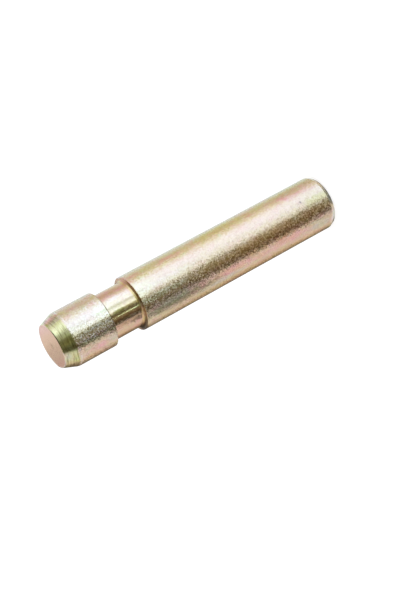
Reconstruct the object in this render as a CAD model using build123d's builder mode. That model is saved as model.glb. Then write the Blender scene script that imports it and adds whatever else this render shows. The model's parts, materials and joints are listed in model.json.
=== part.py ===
from build123d import *
import os

# Tooth pin for an excavator bucket: a round steel bar that locks a tooth on its adapter.
# It stands on its butt end with its axis on +Z, the nose that is driven in first on top.
# All sizes are in millimetres.

body_diameter = 22.0         # bar size: the fit in the bores of tooth and adapter
overall_length = 126.5       # butt face to nose face

butt_chamfer_length = 1.8    # along the axis
butt_chamfer_depth = 0.8     # off the radius: a shallow break rather than 45 degrees

head_length = 21.8           # nose face to the groove's near wall, cone included
nose_cone_length = 5.7       # lead-in that opens the retainer as the pin is driven
nose_cone_depth = 2.2        # off the radius at the nose face
nose_blend_radius = 4.5      # eases the cone into the head, so that the retainer slides over

groove_width = 13.2          # room for the coils of the spring retainer
groove_depth = 1.8           # off the radius
groove_load_fillet = 1.2     # root radius at the shoulder that takes the load
groove_head_fillet = 0.4     # root radius left by the tool at the head's wall

edge_break = 0.25            # rounding of every other outer corner

body_radius = body_diameter / 2
groove_radius = body_radius - groove_depth
nose_face_radius = body_radius - nose_cone_depth
butt_face_radius = body_radius - butt_chamfer_depth

cone_base = overall_length - nose_cone_length
head_base = overall_length - head_length
shoulder = head_base - groove_width

with BuildPart() as tooth_pin:
    # Half section in the XZ plane, from the butt face up to the nose face.
    with BuildSketch(Plane.XZ):
        with BuildLine():
            Polyline(
                (0, 0),
                (butt_face_radius, 0),
                (body_radius, butt_chamfer_length),
                (body_radius, shoulder),
                (groove_radius, shoulder),
                (groove_radius, head_base),
                (body_radius, head_base),
                (body_radius, cone_base),
                (nose_face_radius, overall_length),
                (0, overall_length),
                close=True,
            )
        make_face()
    revolve(axis=Axis.Z)

    # Each wall of the groove has two circles: its root inside and its rim outside.
    corners = tooth_pin.edges().filter_by(GeomType.CIRCLE)
    load_wall = corners.filter_by_position(Axis.Z, shoulder, shoulder).sort_by(SortBy.RADIUS)
    head_wall = corners.filter_by_position(Axis.Z, head_base, head_base).sort_by(SortBy.RADIUS)
    butt_rims = corners.filter_by_position(Axis.Z, 0, butt_chamfer_length)
    cone_rims = corners.filter_by_position(Axis.Z, cone_base, overall_length).sort_by(Axis.Z)

    fillet(load_wall.first, groove_load_fillet)
    fillet(head_wall.first, groove_head_fillet)
    fillet(cone_rims.first, nose_blend_radius)
    fillet([load_wall.last, head_wall.last, *butt_rims, cone_rims.last], edge_break)

tooth_pin.part.label = "tooth_pin"

os.makedirs("parts", exist_ok=True)
export_step(tooth_pin.part, "parts/tooth_pin.step")
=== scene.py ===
import json
import math

import bpy
from mathutils import Matrix, Vector, noise


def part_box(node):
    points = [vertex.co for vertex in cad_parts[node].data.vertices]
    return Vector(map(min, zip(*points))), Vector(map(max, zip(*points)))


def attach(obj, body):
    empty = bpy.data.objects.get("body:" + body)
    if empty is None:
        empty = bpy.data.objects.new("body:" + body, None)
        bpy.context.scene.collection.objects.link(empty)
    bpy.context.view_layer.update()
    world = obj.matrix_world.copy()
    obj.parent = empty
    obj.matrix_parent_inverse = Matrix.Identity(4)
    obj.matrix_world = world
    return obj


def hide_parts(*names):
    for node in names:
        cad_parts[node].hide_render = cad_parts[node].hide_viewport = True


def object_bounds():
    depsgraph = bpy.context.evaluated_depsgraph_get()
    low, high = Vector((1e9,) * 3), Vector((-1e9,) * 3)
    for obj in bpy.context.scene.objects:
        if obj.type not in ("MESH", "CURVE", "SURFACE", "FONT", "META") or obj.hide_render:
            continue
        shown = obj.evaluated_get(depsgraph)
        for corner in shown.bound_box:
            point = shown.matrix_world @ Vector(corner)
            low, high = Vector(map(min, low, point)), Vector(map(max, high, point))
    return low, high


# A turned steel tooth pin under yellow zinc plating, standing on its butt end.
# Lengths are in metres in the row frame, +Z along the pin's axis from butt to nose.
# Compass angles run round +Z from the camera's side, -Y, towards +X.

NODE = "tooth_pin"
MM = 0.001
DEGREE = math.radians(1)

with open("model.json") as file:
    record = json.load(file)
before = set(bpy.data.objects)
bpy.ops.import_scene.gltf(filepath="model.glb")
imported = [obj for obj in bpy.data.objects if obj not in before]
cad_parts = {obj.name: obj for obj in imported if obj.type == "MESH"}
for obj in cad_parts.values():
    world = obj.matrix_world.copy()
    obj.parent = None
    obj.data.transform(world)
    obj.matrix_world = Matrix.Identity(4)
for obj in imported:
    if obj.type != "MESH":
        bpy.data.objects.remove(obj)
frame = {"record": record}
cad_low, cad_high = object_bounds()
mounts = {m["name"]: m for m in frame["record"]["mounts"]}

# ---------------------------------------------------------------- sizes of the pin

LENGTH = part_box(NODE)[1].z
BODY_R = mounts["body"]["dims"]["r_mm"] * MM
GROOVE_R = mounts["retainer_groove"]["dims"]["r_mm"] * MM
GROOVE_MID = mounts["retainer_groove"]["pos_m"][2]
GROOVE_WIDTH = mounts["retainer_groove"]["dims"]["length_mm"] * MM
SHOULDER = GROOVE_MID - GROOVE_WIDTH / 2
HEAD_BASE = GROOVE_MID + GROOVE_WIDTH / 2
CONE_LENGTH = 5.7 * MM
CONE_DEPTH = 2.2 * MM       # off the radius at the nose face
CONE_BASE = LENGTH - CONE_LENGTH
NOSE_R = BODY_R - CONE_DEPTH
NOSE_BLEND = 4.5 * MM       # radius between head and cone
CHAMFER_LENGTH = 1.8 * MM   # of the butt, along the axis
CHAMFER_DEPTH = 0.8 * MM    # off the radius
BUTT_R = BODY_R - CHAMFER_DEPTH
EDGE = 0.25 * MM            # rounding of the other outer corners
LOAD_FILLET = 1.2 * MM      # root of the shoulder
HEAD_FILLET = 0.4 * MM      # root of the head's wall

GRAIN = 0.035 * MM          # depth of the fine swell under the plating
RIPPLE = 0.42               # how far a finer ripple leans the surface to and fro
RIPPLE_SIZE = 0.44 * MM
FLAKE = 0.45 * MM           # size of the zinc's crystals
FLAKE_TILT = 0.62           # how far they lean: about thirteen degrees on average
FLAKE_SHARE = 0.30          # of the light, sent off by crystals that lean
VEIL_SHARE = 0.37           # of the rest, spread wider by the passivation's haze
TURNS = 280                 # points round each ring of the mesh

# Small dents: height, compass angle, radius, depth.
MARKS = [
    (13.3 * MM, 17.3 * DEGREE, 0.42 * MM, 0.16 * MM),
    (14.7 * MM, 5.7 * DEGREE, 0.26 * MM, 0.05 * MM),
    (5.6 * MM, 1.6 * DEGREE, 0.30 * MM, 0.06 * MM),
    (72.0 * MM, 131.0 * DEGREE, 0.40 * MM, 0.10 * MM),
    (38.0 * MM, -152.0 * DEGREE, 0.35 * MM, 0.08 * MM),
    (112.0 * MM, 168.0 * DEGREE, 0.45 * MM, 0.10 * MM),
]

# Patches that change the colour: the middle's height in mm and its compass angle in degrees,
# half its length in mm, half its width in degrees, and the tint. Some are where the film ran thicker or
# thinner. Many of those in the groove, on the head, at the shoulder, along the rims and in a long stripe
# down the body's side, dark and light, are painted reflections of what the metal mirrors there and
# painted shade, not the film. They were set against colours measured in the photograph, except
# the two past 100 degrees on the hidden side, which are invented.
FILM_TINTS_AND_PAINTED_LIGHT = [
    # On the butt's rim and chamfer: a painted dark reflection along the rim, and painted dark and pale
    # reflections on the chamfer.
    (0, 24, 0.8, 50, (0.34, 0.32, 0.33)),
    (0.8, -6, 1.4, 15, (0.55, 0.60, 0.64)),
    (0.9, -54, 2.4, 28, (1.24, 1.42, 1.78)),
    # On the body: tints of the film, one that darkens the deepest dent, and a long stripe of painted
    # shade at -86 degrees.
    (6, 9, 8, 11, (0.93, 1.01, 0.80)),
    (8, -46, 6, 16, (0.89, 1.03, 1.12)),
    (10, -64, 13, 13, (1.18, 1.15, 1.13)),
    (12, 46, 16, 19, (1.00, 0.85, 1.02)),
    (13.3, 17.3, 0.6, 3, (0.45, 0.47, 0.54)),
    (14, -11, 16, 8, (0.88, 0.84, 0.87)),
    (24, -40, 12, 12, (1.05, 0.85, 0.99)),
    (30, -16.5, 40, 19.5, (0.95, 0.82, 0.64)),
    (35, 150, 18, 16, (1.02, 0.86, 1.04)),
    (38, -44, 6, 9, (1.04, 0.89, 0.97)),
    (45, -68, 46, 10, (1.02, 0.93, 0.80)),
    (48, 56, 17, 13, (0.98, 1.00, 0.78)),
    (51, -38, 11, 10, (1.05, 0.85, 0.97)),
    (57, -52, 13, 8, (0.90, 1.03, 1.12)),
    (62, -86, 36, 9, (0.62, 0.55, 0.46)),
    (69, 50, 7, 10, (1.04, 0.92, 0.98)),
    (70, -140, 15, 18, (0.94, 1.02, 1.02)),
    (78, -30, 11, 12, (0.92, 1.03, 1.10)),
    (78, 10, 15, 8, (1.04, 1.08, 1.13)),
    (81, 60, 5, 9, (0.98, 1.00, 0.84)),
    (82, -36, 16, 10, (0.83, 0.95, 0.85)),
    (82, -11, 16, 8, (1.00, 1.16, 1.30)),
    (88, 52, 4, 11, (1.03, 0.89, 0.96)),
    # On the shoulder: painted dark reflection in the corner at its root.
    (91.7, -94, 1.2, 26, (0.26, 0.21, 0.15)),
    (92.4, -84, 1.8, 27, (0.34, 0.28, 0.20)),
    # On the groove: light and dark stripes of painted reflection, and tints of the film.
    (98, -69, 8, 9, (0.78, 0.72, 0.64)),
    (98, -33, 9, 8, (0.72, 0.69, 0.60)),
    (98, -27, 9, 7, (1.16, 1.28, 1.30)),
    (98, -24.5, 9, 3.5, (1.22, 1.28, 1.12)),
    (98, -10.8, 8, 2.5, (1.14, 1.36, 1.30)),
    (98, -7, 9, 3.5, (0.72, 0.76, 0.74)),
    (98, -0.5, 9, 4, (0.60, 0.54, 0.42)),
    (98, 4, 9, 3, (1.10, 1.15, 1.12)),
    (98, 13.5, 12, 4, (0.76, 0.75, 0.66)),
    (98, 16, 14, 24, (1.07, 1.20, 1.13)),
    (98, 31, 9, 8, (1.03, 1.10, 1.18)),
    (98, 40, 8, 12, (1.03, 1.04, 1.30)),
    (98, 56, 9, 17, (1.03, 0.84, 1.16)),
    (98, 70, 8, 11, (1.00, 0.93, 0.80)),
    (99, -3, 7, 7, (0.66, 0.78, 0.54)),
    # On the head: a line of painted shade along its base edge, painted light and dark reflections, and
    # tints of the film.
    (104.75, 5, 0.5, 72, (0.42, 0.34, 0.25)),
    (107, -42, 3, 12, (0.93, 1.03, 1.12)),
    (112, -69, 10, 9, (0.88, 0.84, 0.76)),
    (112, -27, 12, 5, (0.80, 0.88, 0.76)),
    (112, -25, 12, 6, (0.86, 0.94, 0.86)),
    (112, -15, 12, 6, (1.03, 1.10, 1.16)),
    (112, -14, 12, 11, (1.10, 1.22, 1.62)),
    (112, -4, 12, 5, (0.78, 0.77, 0.72)),
    (112, 3, 14, 36, (1.05, 1.14, 1.15)),
    (112, 5, 12, 5, (1.16, 1.17, 1.20)),
    (112, 42, 10, 9, (1.00, 1.06, 1.20)),
    (112, 54, 8, 15, (1.02, 0.90, 1.10)),
    (112, 69, 11, 12, (1.00, 0.90, 0.90)),
    (113, -47, 6, 11, (1.06, 0.84, 0.97)),
    (116, -62, 5, 8, (1.03, 0.92, 0.78)),
    # On the cone and the nose's rim: painted light and dark reflections and tints of the film on the
    # cone, and a painted dark reflection along the rim.
    (122, -52, 1.8, 11, (0.95, 1.06, 0.90)),
    (122.6, -77, 5, 16, (0.62, 0.52, 0.60)),
    (123, 49, 4, 8, (0.94, 0.95, 1.32)),
    (123.5, -23, 4, 8, (0.66, 0.60, 0.52)),
    (123.5, -10, 4, 20, (0.97, 0.98, 0.70)),
    (123.5, 57, 3, 6, (0.87, 0.85, 1.04)),
    (123.5, 68, 4, 18, (1.00, 0.66, 1.02)),
    (125.2, -41, 1.8, 12, (1.03, 1.14, 1.38)),
    (126.45, 16, 0.36, 34, (0.16, 0.16, 0.15)),
]


def ease(x, low, high):
    """0 below low, 1 above high, an S curve between."""
    t = min(max((x - low) / (high - low), 0.0), 1.0)
    return t * t * (3 - 2 * t)


# ---------------------------------------------------------------- the turned mesh


def rounded(corners):
    """(r, z) points of an outline whose corners are given as (r, z, rounding radius)."""
    points = [Vector(corners[0][:2])]
    for before, corner, after in zip(corners, corners[1:], corners[2:]):
        at, radius = Vector(corner[:2]), corner[2]
        back = (Vector(before[:2]) - at).normalized()
        ahead = (Vector(after[:2]) - at).normalized()
        half = math.acos(max(-1.0, min(1.0, back.dot(ahead)))) / 2
        centre = at + (back + ahead).normalized() * (radius / math.sin(half))
        start = at + back * (radius / math.tan(half)) - centre
        end = at + ahead * (radius / math.tan(half)) - centre
        sweep = start.angle_signed(end)
        steps = max(6, round(abs(sweep) / (12 * DEGREE)))
        for i in range(steps + 1):
            points.append(centre + Matrix.Rotation(-sweep * i / steps, 2) @ start)
    points.append(Vector(corners[-1][:2]))
    return points


def ring_spacing(middle):
    """How far apart the rings are on a straight run: finest where turning marks are deepest."""
    r, z = middle
    if z > CONE_BASE:
        return 0.12 * MM if r > NOSE_R else 0.22 * MM
    if SHOULDER < z < HEAD_BASE:
        return 0.3 * MM
    return 0.35 * MM if r < BUTT_R * 0.98 else 1.8 * MM


def with_rings(points):
    """The outline with rings added: close beside each corner, then evenly along the straight."""
    near = 0.06 * MM
    out = [points[0]]
    for a, b in zip(points, points[1:]):
        run = (b - a).length
        if run > 0.9 * MM:
            count = max(2, math.ceil((run - 2 * near) / ring_spacing((a + b) / 2)))
            out += [a.lerp(b, (near + (run - 2 * near) * i / count) / run) for i in range(count + 1)]
        out.append(b)
    return out


def around_marks(points):
    """The outline with fine rings where a mark crosses a long straight run."""
    step = 0.09 * MM
    heights = sorted(
        z + step * i
        for z, _, radius, _ in MARKS
        for i in range(-math.ceil(radius / step), math.ceil(radius / step) + 1)
    )
    out = [points[0]]
    for a, b in zip(points, points[1:]):
        if b.y > a.y and abs(a.x - BODY_R) < 1e-7 and abs(b.x - BODY_R) < 1e-7:
            for h in heights:
                if out[-1].y + 0.4 * step < h < b.y - 0.4 * step:
                    out.append(Vector((BODY_R, h)))
        out.append(b)
    return out


OUTLINE = around_marks(with_rings(rounded([
    (0, 0, 0),
    (BUTT_R, 0, EDGE),
    (BODY_R, CHAMFER_LENGTH, EDGE),
    (BODY_R, SHOULDER, EDGE),
    (GROOVE_R, SHOULDER, LOAD_FILLET),
    (GROOVE_R, HEAD_BASE, HEAD_FILLET),
    (BODY_R, HEAD_BASE, EDGE),
    (BODY_R, CONE_BASE, NOSE_BLEND),
    (NOSE_R, LENGTH, EDGE),
    (0, LENGTH, 0),
])))

# Corners that knock against things: radius, height, how much of the rim is rubbed, how much less of it
# on its best kept side, and that side's compass angle. The two walls of the groove are sheltered.
RIMS = [
    (BUTT_R, 0, 0.3, 0.35, 25 * DEGREE),
    (BODY_R, SHOULDER, 0.1, 0.3, -85 * DEGREE),
    (BODY_R, HEAD_BASE, 0.1, 0.25, 0),
    (BODY_R, CONE_BASE, 0.3, 0, 0),
    (NOSE_R, LENGTH, 0.3, 0.35, 25 * DEGREE),
]


def tool_marks(r, z, compass):
    """Depth of the feed marks: a spiral that the tool leaves, and a pip where it runs out."""
    if z > LENGTH - EDGE:
        pitch, depth = 0.9 * MM, 0.0012 * MM
        pip = 0.05 * MM * ease(r, 1.3 * MM, 0.6 * MM)
        return pip + depth * (1 + math.cos(math.tau * r / pitch + compass))
    if z > CONE_BASE:
        pitch, depth = 0.55 * MM, 0.0022 * MM
        return depth * (1 + math.cos(math.tau * z / pitch + compass))
    if SHOULDER < z < HEAD_BASE and r < GROOVE_R + 0.1 * MM:
        pitch, depth = 1.1 * MM, 0.0010 * MM
        return depth * (1 + math.cos(math.tau * z / pitch + compass))
    if z < EDGE:
        pitch, depth = 1.2 * MM, 0.002 * MM
        return depth * (1 + math.cos(math.tau * r / pitch + compass))
    return 0.0


def nicks(r, z, compass):
    """Depth of the knocks along the rims: none for most of each rim."""
    reach = 0.7 * MM
    near = min(math.hypot(r - rim_r, z - rim_z) for rim_r, rim_z, *_ in RIMS)
    if near > reach:
        return 0.0
    at = Vector((r * math.sin(compass), -r * math.cos(compass), z))
    knock = ease(noise.noise(at / (1.1 * MM)), 0.30, 0.75)
    return 0.05 * MM * knock * (1 - near / reach) ** 2


def wear(r, z, compass):
    """How far the film has rubbed off: 1 on a worn stretch of a rim, 0 away from the rims."""
    reach = 0.9 * MM
    near, rubbing, spared, side = min(
        (math.hypot(r - rim_r, z - rim_z), *rest) for rim_r, rim_z, *rest in RIMS
    )
    if near > reach:
        return 0.0
    at = Vector((r * math.sin(compass), -r * math.cos(compass), z))
    rubbed = 0.7 * noise.noise(at / (4.0 * MM)) + 0.5 * noise.noise(at / (0.8 * MM))
    exposed = rubbing - spared * math.cos(compass - side)
    return ease(rubbed + exposed - near / reach, 0.0, 0.5)


def marks(z, compass):
    """Depth of the small dents."""
    total = 0.0
    for mark_z, mark_compass, radius, depth in MARKS:
        turn = (compass - mark_compass + math.pi) % math.tau - math.pi
        away = math.hypot(z - mark_z, BODY_R * turn) / radius
        total += depth * (1 - ease(away, 0.0, 1.0))
    return total


def lathe(name, outline):
    """A closed mesh of the (r, z) outline turned about Z, with its surface marks cut in."""
    rings = outline[1:-1]
    verts = [Vector((0, 0, outline[0].y))]
    worn = [0.0]
    for i, (r, z) in enumerate(rings, start=1):
        along = (outline[i + 1] - outline[i - 1]).normalized()
        out_r, out_z = along.y, -along.x
        on_body = abs(r - BODY_R) < 1e-6
        for k in range(TURNS):
            compass = math.tau * k / TURNS
            depth = tool_marks(r, z, compass) + nicks(r, z, compass)
            if on_body:
                depth += marks(z, compass)
            worn.append(wear(r, z, compass))
            rr = max(r - out_r * depth, 1e-6)
            verts.append(Vector((rr * math.sin(compass), -rr * math.cos(compass), z - out_z * depth)))
    pip = tool_marks(0, outline[-1].y, 0)
    verts.append(Vector((0, 0, outline[-1].y - pip)))
    top = len(verts) - 1
    last = 1 + (len(rings) - 1) * TURNS
    faces = []
    for k in range(TURNS):
        n = (k + 1) % TURNS
        faces.append((0, 1 + n, 1 + k))
        faces.append((top, last + k, last + n))
        for i in range(len(rings) - 1):
            a, b = 1 + i * TURNS, 1 + (i + 1) * TURNS
            faces.append((a + k, a + n, b + n, b + k))
    mesh = bpy.data.meshes.new(name)
    mesh.from_pydata(verts, [], faces)
    mesh.shade_smooth()
    mesh.attributes.new("wear", "FLOAT", "POINT").data.foreach_set("value", [*worn, 0.0])
    mesh.validate()
    obj = bpy.data.objects.new(name, mesh)
    bpy.context.scene.collection.objects.link(obj)
    return obj


# ---------------------------------------------------------------- materials


def full_turn(*pairs):
    """Stops of a ramp that runs once round the compass, from -180 to 180 degrees."""
    return [((degrees + 180) / 360, colour) for degrees, colour in pairs]


class Nodes:
    """Short hands for building a node tree."""

    def __init__(self, tree):
        self.tree = tree
        tree.nodes.clear()

    def add(self, kind, inputs=(), **settings):
        node = self.tree.nodes.new(kind)
        for key, value in settings.items():
            setattr(node, key, value)
        for key, value in dict(inputs).items():
            if isinstance(value, bpy.types.NodeSocket):
                self.tree.links.new(value, node.inputs[key])
            else:
                node.inputs[key].default_value = value
        return node

    def math(self, operation, a, b=0.0, c=0.0):
        return self.add("ShaderNodeMath", {0: a, 1: b, 2: c}, operation=operation).outputs[0]

    def fade(self, value, low, high, to_low=0.0, to_high=1.0):
        """to_low below low, to_high above high, an S curve between."""
        ends = {"Value": value, "From Min": low, "From Max": high, "To Min": to_low, "To Max": to_high}
        node = self.add("ShaderNodeMapRange", ends, interpolation_type="SMOOTHSTEP")
        return node.outputs["Result"]

    def vector(self, operation, a, b=(0.0, 0.0, 0.0)):
        return self.add("ShaderNodeVectorMath", {0: a, 1: b}, operation=operation).outputs[0]

    def mix(self, factor, a, b, blend="MIX"):
        settings = {"data_type": "RGBA", "blend_type": blend}
        return self.add("ShaderNodeMix", {0: factor, 6: a, 7: b}, **settings).outputs[2]

    def ramp(self, value, stops):
        node = self.add("ShaderNodeValToRGB", {0: value})
        elements = node.color_ramp.elements
        while len(elements) < len(stops):
            elements.new(0.5)
        for element, (at, colour) in zip(elements, stops):
            element.position = at
            element.color = (*colour, 1)
        return node.outputs[0]

    def noise(self, vector, size, detail=2.0, roughness=0.5, distortion=0.0):
        """Noise whose blotches are about size across."""
        inputs = {
            "Vector": vector,
            "Scale": 1 / size,
            "Detail": detail,
            "Roughness": roughness,
            "Distortion": distortion,
        }
        return self.add("ShaderNodeTexNoise", inputs).outputs["Fac"]

    def finish(self, kind, shader):
        self.tree.links.new(shader, self.add(kind).inputs[0])


def film_and_painted_reflections(n, place, xyz, compass, radius):
    """Straw gold that drifts to rose pink and to green as the film gets thicker, with painted reflections
    and painted shade laid on in patches and on the shoulder's wall.
    """
    place_x, _, height = xyz
    # Along the bar the film drifts slowly, and each turned length took it differently.
    wander = n.math("SUBTRACT", n.noise(place, 9 * MM, 2.0), 0.5)
    drift = n.math("MULTIPLY_ADD", wander, 6 * MM, height)
    colour = n.ramp(n.math("DIVIDE", drift, LENGTH), [
        (0.00, (0.80, 0.73, 0.57)),
        (0.09, (0.83, 0.73, 0.57)),
        (0.20, (0.87, 0.74, 0.59)),
        (0.45, (0.87, 0.75, 0.58)),
        (0.62, (0.87, 0.77, 0.61)),
        (0.72, (0.88, 0.80, 0.65)),
    ])
    for start, shade in (
        (SHOULDER - EDGE, (0.84, 0.67, 0.53)),
        (HEAD_BASE - 0.1 * MM, (0.86, 0.77, 0.64)),
        (CONE_BASE + 0.65 * MM, (0.76, 0.76, 0.49)),
    ):
        colour = n.mix(n.fade(height, start, start + 0.1 * MM), colour, (*shade, 1))

    # Larger patches with wandering edges: tints where the bath ran off, painted reflections and painted
    # shade.
    ragged = n.noise(place, 4.5 * MM, 3.0, 0.6)
    for middle, side, half_length, half_width, tint in FILM_TINTS_AND_PAINTED_LIGHT:
        up = n.math("DIVIDE", n.math("SUBTRACT", height, middle * MM), half_length * MM)
        round_ = n.math("DIVIDE", n.math("SUBTRACT", compass, side * DEGREE), half_width * DEGREE)
        away = n.math("ADD", n.math("POWER", up, 2.0), n.math("POWER", round_, 2.0))
        away = n.math("MULTIPLY_ADD", ragged, 1.6, away)
        tinted = n.mix(1.0, colour, (*tint, 1), "MULTIPLY")
        colour = n.mix(n.fade(away, 1.9, 0.7), colour, tinted)

    # The nose face runs from dark red brown on one side to pink on the other, round a golden middle.
    across = n.math("MULTIPLY_ADD", place_x, 0.5 / NOSE_R, 0.5)
    across = n.math("MULTIPLY_ADD", n.math("SUBTRACT", ragged, 0.5), 0.10, across)
    flush = n.ramp(across, [
        (0.10, (0.58, 0.34, 0.25)),
        (0.27, (0.61, 0.42, 0.29)),
        (0.42, (0.66, 0.46, 0.32)),
        (0.58, (0.80, 0.58, 0.42)),
        (0.73, (0.88, 0.64, 0.50)),
        (0.90, (0.91, 0.66, 0.62)),
    ])
    flush = n.mix(n.fade(radius, 1.6 * MM, 0.2 * MM), flush, (0.60, 0.44, 0.28, 1))
    on_face = n.math(
        "MULTIPLY",
        n.fade(height, LENGTH - 2 * EDGE, LENGTH - 1.2 * EDGE),
        n.fade(radius, NOSE_R - 0.08 * MM, NOSE_R - 0.18 * MM),
    )
    colour = n.mix(on_face, colour, flush)

    # Orange gold lies on the shoulder's wall and thins up the fillet. Its nearly black stretch stands for
    # the dark surroundings that the wall mirrors in the photograph.
    past = n.fade(height, SHOULDER - 0.08 * MM, SHOULDER - 0.02 * MM)
    on_wall = n.math("MULTIPLY", n.fade(height, SHOULDER + 0.55 * MM, SHOULDER + 0.2 * MM), past)
    on_foot = n.math("MULTIPLY", n.fade(height, SHOULDER + 1.5 * MM, SHOULDER + 0.9 * MM), past)
    orange = n.ramp(n.math("MULTIPLY_ADD", compass, 1 / math.tau, 0.5), full_turn(
        (-180, (0.70, 0.52, 0.34)),
        (-112, (0.55, 0.40, 0.26)),
        (-98, (0.10, 0.07, 0.04)),
        (-88, (0.06, 0.04, 0.02)),
        (-74, (0.12, 0.08, 0.03)),
        (-60, (0.16, 0.11, 0.05)),
        (-46, (0.27, 0.21, 0.12)),
        (-30, (0.42, 0.32, 0.20)),
        (-10, (0.42, 0.36, 0.28)),
        (4, (0.37, 0.25, 0.12)),
        (30, (0.26, 0.17, 0.08)),
        (46, (0.42, 0.38, 0.20)),
        (60, (0.61, 0.44, 0.27)),
        (80, (0.66, 0.52, 0.36)),
        (180, (0.70, 0.52, 0.34)),
    ))
    colour = n.mix(on_foot, colour, n.mix(1.0, colour, (0.94, 0.92, 0.66, 1), "MULTIPLY"))
    colour = n.mix(on_wall, colour, orange)

    # Small patches drawn out along the bar, in the film's own order of colours. They are fainter on the
    # side towards the camera and on the nose face.
    along = n.add("ShaderNodeMapping", {"Vector": place, "Scale": (1.0, 1.0, 0.5)}).outputs[0]
    tint = n.ramp(n.noise(along, 2.6 * MM, 4.0, 0.6, 0.4), [
        (0.30, (1.05, 0.82, 0.92)),
        (0.40, (1.03, 0.92, 0.95)),
        (0.48, (1.00, 1.00, 1.00)),
        (0.56, (1.00, 0.99, 0.84)),
        (0.64, (0.94, 1.04, 0.88)),
        (0.73, (0.86, 1.05, 1.10)),
    ])
    front = n.math(
        "MULTIPLY",
        n.fade(compass, -28 * DEGREE, -14 * DEGREE),
        n.fade(compass, 42 * DEGREE, 30 * DEGREE),
    )
    quiet = n.math("MAXIMUM", n.math("MULTIPLY", front, 0.65), n.math("MULTIPLY", on_face, 0.75))
    colour = n.mix(n.math("SUBTRACT", 1.0, quiet), colour, tint, "MULTIPLY")
    fleck = n.ramp(n.noise(place, 0.6 * MM, 1.0), [
        (0.28, (0.90, 0.87, 0.86)),
        (0.50, (1.00, 1.00, 1.00)),
        (0.72, (1.03, 1.06, 1.04)),
    ])
    colour = n.mix(1.0, colour, fleck, "MULTIPLY")

    # Fine rings left by the turning tool show on the cone.
    rings = n.add("ShaderNodeMapping", {"Vector": place, "Scale": (0.1, 0.1, 1.0)}).outputs[0]
    ring = n.ramp(n.noise(rings, 0.5 * MM, 2.0), [
        (0.35, (0.62, 0.62, 0.54)),
        (0.50, (1.00, 1.00, 1.00)),
        (0.65, (1.16, 1.18, 1.20)),
    ])
    on_cone = n.math("SUBTRACT", n.fade(height, CONE_BASE + 0.4 * MM, CONE_BASE + MM), on_face)
    return n.mix(on_cone, colour, n.mix(1.0, colour, ring, "MULTIPLY"))


def plated_steel_with_painted_light():
    """Yellow chromate over zinc, with the sparkle of the zinc's crystals, and painted reflections and
    painted shade in its colour.
    """
    material = bpy.data.materials.new("yellow_zinc_plating_with_painted_light")
    material.use_nodes = True
    n = Nodes(material.node_tree)
    place = n.add("ShaderNodeTexCoord").outputs["Object"]
    xyz = n.add("ShaderNodeSeparateXYZ", {0: place}).outputs
    height = xyz[2]
    compass = n.math("ARCTAN2", xyz[0], n.math("MULTIPLY", xyz[1], -1.0))
    radius = n.math("SQRT", n.math("ADD", n.math("POWER", xyz[0], 2.0), n.math("POWER", xyz[1], 2.0)))
    colour = film_and_painted_reflections(n, place, xyz, compass, radius)
    worn = n.add("ShaderNodeAttribute", attribute_name="wear").outputs["Fac"]
    colour = n.mix(worn, colour, (0.92, 0.90, 0.85, 1))

    # The zinc's crystals lean every way and sparkle. Where the steel was turned it shows few.
    in_groove = n.math(
        "MULTIPLY",
        n.fade(height, SHOULDER - 0.2 * MM, SHOULDER + 0.6 * MM),
        n.fade(height, HEAD_BASE + 0.2 * MM, HEAD_BASE - 0.6 * MM),
    )
    on_cone = n.fade(height, CONE_BASE + 0.4 * MM, CONE_BASE + 1.0 * MM)
    turned = n.math("MAXIMUM", in_groove, on_cone)
    bare = n.math("MAXIMUM", n.math("MULTIPLY", in_groove, 0.6), n.math("MULTIPLY", on_cone, 0.8))
    depth = n.math("MULTIPLY_ADD", turned, -0.7 * GRAIN, GRAIN)
    bump = {"Height": n.noise(place, 0.7 * MM, 1.0), "Distance": depth}
    swell = n.add("ShaderNodeBump", bump).outputs[0]

    def leaned(normal, wobble, tilt, less):
        """The normal leant by up to half the tilt, and less where it was turned."""
        tilt = n.math("MULTIPLY_ADD", less, -tilt, tilt)
        spread = n.add("ShaderNodeCombineXYZ", {0: tilt, 1: tilt, 2: tilt}).outputs[0]
        lean = n.vector("MULTIPLY", n.vector("SUBTRACT", wobble, (0.5, 0.5, 0.5)), spread)
        return n.vector("NORMALIZE", n.vector("ADD", lean, normal))

    fine = n.add("ShaderNodeMapping", {"Vector": place, "Scale": (1.0, 1.0, 1.5)}).outputs[0]
    ripples = {"Vector": fine, "Scale": 1 / RIPPLE_SIZE, "Detail": 0.0}
    ripple = n.add("ShaderNodeTexNoise", ripples).outputs["Color"]
    rippled = leaned(swell, ripple, RIPPLE, n.math("MULTIPLY", turned, 0.92))
    crystals = n.add("ShaderNodeMapping", {"Vector": place, "Scale": (1.0, 1.0, 1.25)}).outputs[0]
    crystal = n.add("ShaderNodeTexVoronoi", {"Vector": crystals, "Scale": 1 / FLAKE}).outputs["Color"]
    leaning = leaned(rippled, crystal, FLAKE_TILT, bare)

    def metal(normal, roughness):
        inputs = {"Base Color": colour, "Metallic": 1.0, "Roughness": roughness, "Normal": normal}
        return n.add("ShaderNodeBsdfPrincipled", inputs).outputs[0]

    # Smoother where it was turned, and duller where it has rubbed.
    matt = n.fade(n.noise(place, 0.9 * MM, 2.0), 0.35, 0.70, 0.14, 0.17)
    matt = n.math("MULTIPLY_ADD", turned, -0.07, matt)
    plain = metal(rippled, n.math("ADD", matt, n.math("MULTIPLY", worn, 0.1)))
    veiled = n.add("ShaderNodeMixShader", {0: VEIL_SHARE, 1: plain, 2: metal(rippled, 0.29)}).outputs[0]
    shader = n.add("ShaderNodeMixShader", {0: FLAKE_SHARE, 1: veiled, 2: metal(leaning, 0.12)})
    n.finish("ShaderNodeOutputMaterial", shader.outputs[0])
    return material


pin = lathe("pin_turned", OUTLINE)
pin.data.materials.append(plated_steel_with_painted_light())
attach(pin, "root")
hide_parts(NODE)

# ---------------------------------------------------------------- floor and light


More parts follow.
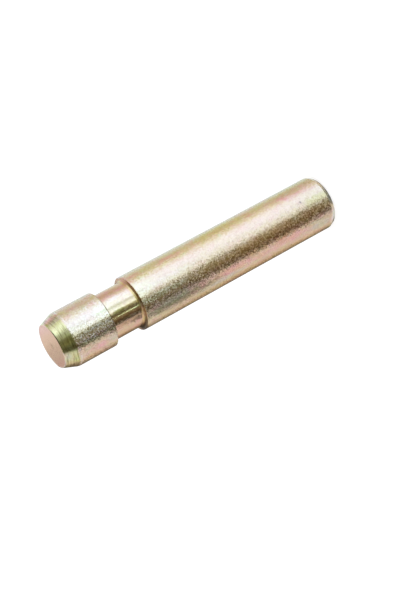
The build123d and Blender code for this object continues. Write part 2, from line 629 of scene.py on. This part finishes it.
def floor_material():
    """White to the camera, and still darkened where the pin stands in its light."""
    material = bpy.data.materials.new("white_floor")
    material.use_nodes = True
    n = Nodes(material.node_tree)
    path = n.add("ShaderNodeLightPath").outputs
    grey, lift = 0.42, 0.70
    diffuse = n.add("ShaderNodeBsdfDiffuse", {"Color": (grey, grey, grey, 1)})
    glow = n.add("ShaderNodeEmission", {"Strength": n.math("MULTIPLY", path["Is Camera Ray"], lift)})
    both = n.add("ShaderNodeAddShader", {0: diffuse.outputs[0], 1: glow.outputs[0]})
    n.finish("ShaderNodeOutputMaterial", both.outputs[0])
    return material


def make_floor():
    half = 4.0  # metres
    mesh = bpy.data.meshes.new("floor")
    corners = [(-half, -half, 0), (half, -half, 0), (half, half, 0), (-half, half, 0)]
    mesh.from_pydata(corners, [], [(0, 1, 2, 3)])
    mesh.materials.append(floor_material())
    floor = bpy.data.objects.new("floor", mesh)
    bpy.context.scene.collection.objects.link(floor)
    floor.location.z = cad_low.z - 0.02 * MM
    floor.visible_glossy = False


make_floor()


def make_card(name, half_y, half_z, dark, light):
    """A grey card in the YZ plane, an ellipse, that nothing but the metal mirrors."""
    mesh = bpy.data.meshes.new(name)
    rim = [math.tau * i / 48 for i in range(48)]
    mesh.from_pydata([(0, half_y * math.cos(a), half_z * math.sin(a)) for a in rim], [], [range(48)])
    material = bpy.data.materials.new(name)
    material.use_nodes = True
    n = Nodes(material.node_tree)
    place = n.add("ShaderNodeTexCoord").outputs["Object"]
    streaks = n.add("ShaderNodeMapping", {"Vector": place, "Scale": (1.0, 1.0, 0.25)}).outputs[0]
    grey = n.ramp(n.noise(streaks, 5 * MM, 3.0), [(0.35, dark), (0.65, light)])
    n.finish("ShaderNodeOutputMaterial", n.add("ShaderNodeEmission", {"Color": grey}).outputs[0])
    mesh.materials.append(material)
    card = bpy.data.objects.new(name, mesh)
    bpy.context.scene.collection.objects.link(card)
    card.visible_camera = card.visible_diffuse = card.visible_shadow = False
    return card


# A dark one stands beside the shoulder. A thin bright one draws a line down the groove.
flag = make_card("flag", 13 * MM, 21 * MM, (0.12, 0.105, 0.075), (0.28, 0.265, 0.215))
flag.location = (-45 * MM, -14 * MM, 62 * MM)
strip = make_card("strip", 0.8 * MM, 6.4 * MM, (2.4, 2.9, 2.0), (2.6, 3.2, 2.2))
strip.location = (-21.5 * MM, -56 * MM, 78 * MM)
strip.rotation_euler.z = 69 * DEGREE


def studio_world():
    """A studio for the metal to mirror: a wide lamp on one side, a darker gap, and a warm table.

    Its colours were set one by one, most of them against colours measured in the photograph.
    """
    world = bpy.data.worlds.new("studio")
    bpy.context.scene.world = world
    world.use_nodes = True
    n = Nodes(world.node_tree)
    direction = n.add("ShaderNodeTexCoord").outputs["Generated"]
    xyz = n.add("ShaderNodeSeparateXYZ", {0: direction}).outputs
    compass = n.math("ARCTAN2", xyz[0], n.math("MULTIPLY", xyz[1], -1.0))
    turn = n.math("MULTIPLY_ADD", compass, 1 / math.tau, 0.5)

    # The lamp stands close, so what it lights shifts round a little with the height.
    climb = n.add("ShaderNodeMapRange", {0: xyz[2], 1: -0.60, 2: -0.30, 3: -0.0185, 4: 0.0185})
    by_lamp = n.fade(compass, -50 * DEGREE, -25 * DEGREE)
    level = n.ramp(n.math("MULTIPLY_ADD", climb.outputs[0], by_lamp, turn), full_turn(
        (-180, (0.45, 0.42, 0.38)),
        (-165, (0.12, 0.09, 0.06)),
        (-145, (0.29, 0.23, 0.155)),
        (-120, (0.76, 0.62, 0.52)),
        (-100, (0.78, 0.71, 0.71)),
        (-80, (0.80, 0.65, 0.68)),
        (-62.5, (0.88, 0.72, 0.74)),
        (-58.5, (0.02, 0.01, 0.004)),
        (-42, (0.06, 0.035, 0.015)),
        (-30, (0.17, 0.12, 0.05)),
        (-22, (0.30, 0.26, 0.13)),
        (-15, (0.18, 0.135, 0.06)),
        (-7, (0.14, 0.10, 0.045)),
        (-2, (0.17, 0.125, 0.06)),
        (2.5, (0.86, 0.88, 0.70)),
        (6, (1.05, 1.11, 1.02)),
        (18, (1.15, 1.24, 1.42)),
        (22, (0.90, 0.97, 1.04)),
        (28, (0.90, 0.97, 1.05)),
        (33, (1.17, 1.26, 1.58)),
        (62, (1.16, 1.24, 1.54)),
        (76, (1.02, 1.00, 0.93)),
        (94, (0.72, 0.64, 0.48)),
        (114, (0.59, 0.54, 0.36)),
        (126, (0.69, 0.70, 0.51)),
        (145, (0.79, 0.90, 0.90)),
        (165, (0.86, 0.97, 1.04)),
        (180, (0.45, 0.42, 0.38)),
    ))
    raised = n.ramp(turn, full_turn(
        (-180, (0.85, 0.80, 0.76)),
        (-150, (0.40, 0.30, 0.33)),
        (-136, (0.26, 0.19, 0.18)),
        (-122, (0.50, 0.38, 0.40)),
        (-100, (0.71, 0.66, 0.60)),
        (-74, (0.75, 0.73, 0.72)),
        (-62, (0.60, 0.58, 0.56)),
        (-53, (0.10, 0.09, 0.06)),
        (-30, (0.10, 0.09, 0.06)),
        (-22, (0.19, 0.17, 0.10)),
        (-12, (0.13, 0.11, 0.06)),
        (4, (0.14, 0.12, 0.07)),
        (12, (0.36, 0.36, 0.26)),
        (28, (0.44, 0.42, 0.36)),
        (42, (0.98, 1.00, 0.95)),
        (54, (1.20, 1.26, 1.26)),
        (66, (1.06, 1.12, 1.08)),
        (86, (0.76, 0.78, 0.80)),
        (108, (0.55, 0.45, 0.52)),
        (120, (0.56, 0.42, 0.50)),
        (130, (0.85, 0.60, 0.74)),
        (150, (0.92, 0.76, 0.96)),
        (180, (0.85, 0.80, 0.76)),
    ))
    below = n.ramp(turn, full_turn(
        (-180, (0.80, 0.80, 0.80)),
        (-90, (0.80, 0.80, 0.80)),
        (-50, (0.10, 0.09, 0.08)),
        (120, (0.10, 0.09, 0.08)),
        (180, (0.80, 0.80, 0.80)),
    ))
    table = n.ramp(turn, full_turn(
        (-180, (1.20, 1.20, 1.25)),
        (-160, (1.60, 1.70, 1.85)),
        (-145, (0.90, 0.90, 0.95)),
        (-125, (0.60, 0.56, 0.55)),
        (-75, (0.74, 0.70, 0.72)),
        (-64, (1.40, 1.42, 1.45)),
        (-20, (1.30, 1.35, 1.35)),
        (-5, (1.25, 1.25, 1.10)),
        (20, (1.15, 1.20, 1.20)),
        (60, (1.15, 1.20, 1.30)),
        (95, (0.74, 0.66, 0.56)),
        (125, (0.68, 0.62, 0.45)),
        (180, (1.20, 1.20, 1.25)),
    ))
    upper = n.ramp(turn, full_turn(
        (-180, (0.85, 0.80, 0.76)),
        (-107, (0.90, 0.70, 0.68)),
        (-85, (0.92, 0.76, 0.73)),
        (-64, (0.60, 0.45, 0.42)),
        (-45, (0.28, 0.23, 0.16)),
        (-10, (0.25, 0.22, 0.12)),
        (0, (0.36, 0.33, 0.19)),
        (20, (0.62, 0.62, 0.46)),
        (33, (0.92, 0.92, 0.80)),
        (64, (1.15, 1.20, 1.30)),
        (85, (0.98, 0.94, 0.88)),
        (107, (0.60, 0.46, 0.36)),
        (180, (0.85, 0.80, 0.76)),
    ))
    overhead, skylight = (0.16, 0.13, 0.07, 1), (0.75, 0.72, 0.66, 1)
    # From the nadir up to the zenith, by the height that a mirrored ray points to.
    studio = n.mix(n.fade(xyz[2], -0.94, -0.90), below, table)
    studio = n.mix(n.fade(xyz[2], -0.76, -0.71), studio, level)
    studio = n.mix(n.fade(xyz[2], 0.16, 0.31), studio, raised)
    studio = n.mix(n.fade(xyz[2], 0.52, 0.60), studio, upper)
    studio = n.mix(n.fade(xyz[2], 0.87, 0.94), studio, overhead)
    studio = n.mix(n.fade(xyz[2], 0.97, 0.985), studio, skylight)
    # Only what the metal mirrors is the studio: floor and camera get plain white.
    path = n.add("ShaderNodeLightPath").outputs
    mirrored = n.add("ShaderNodeBackground", {"Color": studio, "Strength": 1.0})
    plain = n.add("ShaderNodeBackground", {"Color": (1, 1, 1, 1), "Strength": 1.0})
    chosen = n.add(
        "ShaderNodeMixShader",
        {0: path["Is Glossy Ray"], 1: plain.outputs[0], 2: mirrored.outputs[0]},
    )
    n.finish("ShaderNodeOutputWorld", chosen.outputs[0])


studio_world()

# ---------------------------------------------------------------- camera


def make_camera():
    """Looks down on the pin from its nose end, rolled so that the nose points to the lower left.

    Place, aim, roll and lens were fitted to the pin's outline and rims in the photograph.
    """
    data = bpy.data.cameras.new("camera")
    data.sensor_width = 36.0
    data.lens = 83.86
    data.clip_start = 0.01
    data.clip_end = 50.0
    camera = bpy.data.objects.new("camera", data)
    bpy.context.scene.collection.objects.link(camera)
    camera.location = (0.0, -0.48739, 0.28185)
    aim = Vector((-0.011561, 0.0, 0.065884))
    roll = 119.1 * DEGREE
    upright = (aim - camera.location).to_track_quat("-Z", "Y").to_matrix()
    camera.rotation_euler = (upright @ Matrix.Rotation(-roll, 3, "Z")).to_euler()
    bpy.context.scene.camera = camera


make_camera()
bpy.context.scene.view_settings.view_transform = "Standard"
